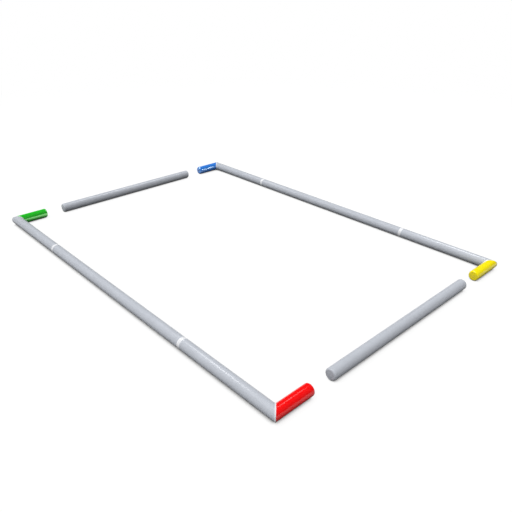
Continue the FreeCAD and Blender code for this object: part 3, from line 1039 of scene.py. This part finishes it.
class BOUNDARY_OT_valves(bpy.types.Operator):
    """Finish the valves: materials, springs and the caps' grip ribs"""

    bl_idname = "boundary.valves"
    bl_label = "Inflation Valves"

    def execute(self, context):
        for name, disc, way, body in VALVES:
            for part, slot in VALVE_SLOTS.items():
                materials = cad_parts[f"{name}_valve_{part}"].data.materials
                materials.clear()
                materials.append(finishes(slot))
            self.make_spring(context, name, disc, way, body)
            self.make_ribs(context, name, disc, way)
        return {"FINISHED"}

    def make_spring(self, context, name, disc, way, body):
        valve = context.scene.boundary_valve
        node = f"{name}_valve_spring"
        low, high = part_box(node)
        outward = Y * way
        foot = low.y if way > 0 else high.y
        height = high.y - low.y
        face = disc_face(disc, way)
        seat = Vector((face.x, foot, face.z))
        piece = coil_tree().grow(
            f"{node}_coil",
            origin=seat + outward * (valve.wire_height / 2),
            outward=outward,
            sideways=outward.cross(Z),
            coil_radius=(high.x - low.x - valve.wire_width) / 2,
            height=height - valve.wire_height,
            turns=valve.coil_turns,
            **picked(valve, "wire_width, wire_height"),
            material=finishes("stainless_wire"),
        )
        settle(piece, "stainless_wire", body, node)
        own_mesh(piece)

    def make_ribs(self, context, name, disc, way):
        valve = context.scene.boundary_valve
        low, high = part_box(f"{name}_valve_cap")
        face = disc_face(disc, way)
        outward = Y * way
        bottom, top = sorted(abs(y - face.y) for y in (low.y, high.y))
        tall = top - bottom
        below, above = 0.32, 0.16  # shares of the cap's height that stay plain
        piece = rib_tree().grow(
            f"{name}_valve_cap_ribs",
            origin=face,
            outward=outward,
            sideways=outward.cross(Z),
            radius=(high.x - low.x) / 2,
            low=bottom + tall * below,
            high=top - tall * above,
            **picked(valve, "rib_width, rib_height"),
            ribs=valve.rib_count,
            material=finishes("cap_plastic"),
        )
        settle(piece, "cap_plastic", f"{name}_valve_cap")


# ---------------------------------------------------- stage


def seen_share(tree, *rays):
    """1 for the named kinds of ray, 0 for every other kind."""
    path = tree.nodes.new("ShaderNodeLightPath")
    first, *others = (Field(tree, path.outputs[ray]) for ray in rays)
    return sum(others, start=first).clamped()


BLUE_WAY = Vector((-0.79, -0.61, 0))
# name, both ends, way that it faces, width and share of the full brightness of each strip lamp
STRIPS = (
    ("strip_over_left", (-0.5, -3.12, 5.0), (2.09, -4.69, 5.0), -Z, 1.5, 0.38),
    ("strip_over_front", (5.16, -1.85, 5.0), (5.02, -0.3, 5.0), -Z, 1.2, 0.05),
    ("strip_over_right", (1.6, 6.4, 5.0), (4.6, 6.4, 5.0), -Z, 2.8, 0.3),
    ("strip_over_back", (-6.7, -0.8, 5.0), (-6.7, 5.6, 5.0), -Z, 1.4, 0.2),
    ("strip_beside_blue", (-1.1, 8.38, 1.3), (-0.6, 7.74, 1.3), BLUE_WAY, 1.7, 0.2),
)
SENSOR_WIDTH = 36.0
SIGHT_REACH = 1000.0
FLOOR_SIDES = 96
CONTACT_SAMPLES = 8
CEILING_FROM, CEILING_RISE = 0.02, 0.16  # starts this far below the level, grows over this
KEY_DISTANCE = 20.0


class BOUNDARY_OT_stage(bpy.types.Operator):
    """Set up the camera, the pale floor and the soft lamps"""

    bl_idname = "boundary.stage"
    bl_label = "Stage"

    def execute(self, context):
        stage = context.scene.boundary_stage
        self.make_camera(context.scene, stage)
        self.make_floor(stage)
        self.make_world(context.scene, stage)
        self.make_key(stage)
        for strip in STRIPS:
            self.make_strip(stage, *strip)
        context.scene.view_settings.view_transform = "Standard"
        return {"FINISHED"}

    def make_camera(self, scene, stage):
        camera = add_object("camera", bpy.data.cameras.new("camera"))
        camera.data.lens = stage.lens
        camera.data.sensor_width = SENSOR_WIDTH
        camera.data.clip_end = SIGHT_REACH
        camera.location = stage.camera_place
        camera.rotation_euler = Vector(stage.camera_aim).to_track_quat("-Z", "Y").to_euler()
        scene.camera = camera

    def make_floor(self, stage):
        ring = bmesh.new()
        bmesh.ops.create_circle(
            ring, cap_ends=True, segments=FLOOR_SIDES, radius=stage.floor_radius
        )
        mesh = bpy.data.meshes.new("floor")
        ring.to_mesh(mesh)
        ring.free()
        floor = add_object("floor", mesh)
        mesh.materials.append(self.floor_material(stage))

    def floor_material(self, stage):
        """Plain floor: throws a little light back, looks pale, and fades out to white. Its glow is
        darkened by ambient occlusion round the object, a painted contact shadow, and glossy rays
        see a wider painted shade of the floor near the object.
        """
        material = bpy.data.materials.new("floor")
        tree = cleared(material)
        space = tree.nodes.new("ShaderNodeTexCoord").outputs["Object"]
        from_middle = Field(
            tree, add_node(tree, "ShaderNodeVectorMath", {0: space}, operation="LENGTH").outputs[1]
        )
        fade = ((from_middle - stage.fade_start) / (stage.fade_end - stage.fade_start)).eased()
        bounce = add_node(tree, "ShaderNodeBsdfDiffuse", {"Color": (stage.floor,) * 3 + (1.0,)})
        pale = add_node(tree, "ShaderNodeBsdfDiffuse", {"Color": (stage.lit,) * 3 + (1.0,)})
        x, y, _ = split(tree, space)
        # the painted contact shadow leans: the occlusion looks towards a point above the middle of
        # the field, so the shadow falls darker outside the field than inside
        upward = joined(tree, x * -stage.painted_shadow_lean_pull, -y, stage.painted_shadow_lean_height)
        tilted = add_node(tree, "ShaderNodeVectorMath", {0: upward}, operation="NORMALIZE")
        contact = add_node(
            tree,
            "ShaderNodeAmbientOcclusion",
            {"Distance": stage.contact_reach, "Normal": tilted},
            samples=CONTACT_SAMPLES,
        )
        # glossy rays see the painted shade darker and wider near the object
        gloss = seen_share(tree, "Is Glossy Ray")
        dark = gloss * (stage.gloss_dark - stage.contact_dark) + stage.contact_dark
        clear = gloss * (stage.gloss_clear - stage.contact_clear) + stage.contact_clear
        openness = ((Field(tree, contact.outputs["AO"]) - dark) / (clear - dark)).eased()
        # painted contact shadow: the floor's glow dims with the occlusion round the object
        painted_shadow_glow = add_node(tree, "ShaderNodeEmission", {"Strength": openness * (1 - stage.lit)})
        white = add_node(tree, "ShaderNodeEmission", {"Strength": 1.0})
        lit = add_node(tree, "ShaderNodeAddShader", {0: pale, 1: painted_shadow_glow})
        shown = add_node(tree, "ShaderNodeMixShader", {0: fade, 1: lit, 2: white})
        seen = seen_share(tree, "Is Camera Ray", "Is Glossy Ray", "Is Transmission Ray")
        mix = add_node(tree, "ShaderNodeMixShader", {0: seen, 1: bounce, 2: shown})
        lead_out(tree, "ShaderNodeOutputMaterial", mix)
        return material

    def make_world(self, scene, stage):
        """Even light all round; white to the eye, with a darker ceiling in the gloss."""
        world = bpy.data.worlds.new("studio")
        scene.world = world
        tree = cleared(world)
        sky = tree.nodes.new("ShaderNodeTexCoord").outputs["Generated"]
        _, _, height = split(tree, sky)
        ceiling = ((height + CEILING_FROM) / CEILING_RISE).eased()
        gloss = seen_share(tree, "Is Glossy Ray")
        seen = seen_share(tree, "Is Camera Ray", "Is Transmission Ray")
        horizon = -(ceiling * (1.0 - stage.ceiling)) + 1.0
        level = seen + gloss * horizon
        around = (-(seen + gloss).clamped() + 1.0) * stage.ambient
        light = add_node(
            tree, "ShaderNodeBackground", {"Color": (1, 1, 1, 1), "Strength": level + around}
        )
        lead_out(tree, "ShaderNodeOutputWorld", light)

    def make_key(self, stage):
        lamp = add_object("key_lamp", bpy.data.lights.new("key_lamp", "SUN"))
        lamp.data.energy = stage.key
        lamp.data.angle = stage.key_spread
        way = Vector(stage.key_from)
        lamp.rotation_euler = (-way).to_track_quat("-Z", "Y").to_euler()
        lamp.location = way * KEY_DISTANCE

    def make_strip(self, stage, name, first, last, way, width, share_of_full):
        """A lamp between two points that faces one way and shows only in gloss."""
        lamp = add_object(name, bpy.data.lights.new(name, "AREA"))
        along = Vector(last) - Vector(first)
        lamp.data.shape = "RECTANGLE"
        lamp.data.size, lamp.data.size_y = along.length, width
        lamp.data.energy = stage.strip * share_of_full * math.pi * along.length * width
        along.normalize()
        back = (along * along.dot(way) - way).normalized()
        lamp.matrix_world = Matrix((along, back.cross(along), back)).transposed().to_4x4()
        lamp.location = (Vector(first) + Vector(last)) / 2
        lamp.data.spread = stage.strip_spread
        lamp.visible_diffuse = False
        lamp.visible_camera = False


class BOUNDARY_PT_panel(bpy.types.Panel):
    """Lists the steps and the settings of the boundary"""

    bl_idname = "BOUNDARY_PT_panel"
    bl_label = "Training Field Boundary"
    bl_space_type = "VIEW_3D"
    bl_region_type = "UI"
    bl_category = "Boundary"

    def draw(self, context):
        for step in STEPS:
            self.layout.operator(step.bl_idname)
        for name, group in SETTINGS.items():
            box = self.layout.box()
            box.label(text=group.__doc__)
            for key in group.__annotations__:
                box.prop(getattr(context.scene, name), key)


STEPS = (
    BOUNDARY_OT_stage,
    BOUNDARY_OT_skins,
    BOUNDARY_OT_tapes,
    BOUNDARY_OT_discs,
    BOUNDARY_OT_valves,
)
CLASSES = (*SETTINGS.values(), *STEPS, BOUNDARY_PT_panel)


def register():
    for made in CLASSES:
        bpy.utils.register_class(made)
    for name, group in SETTINGS.items():
        setattr(bpy.types.Scene, name, bpy.props.PointerProperty(type=group))


def unregister():
    for name in SETTINGS:
        delattr(bpy.types.Scene, name)
    for made in reversed(CLASSES):
        bpy.utils.unregister_class(made)


def main():
    register()
    for step in STEPS:
        operator = step.bl_idname.split(".")[1]
        getattr(bpy.ops.boundary, operator)()


if __name__ == "__main__":
    main()
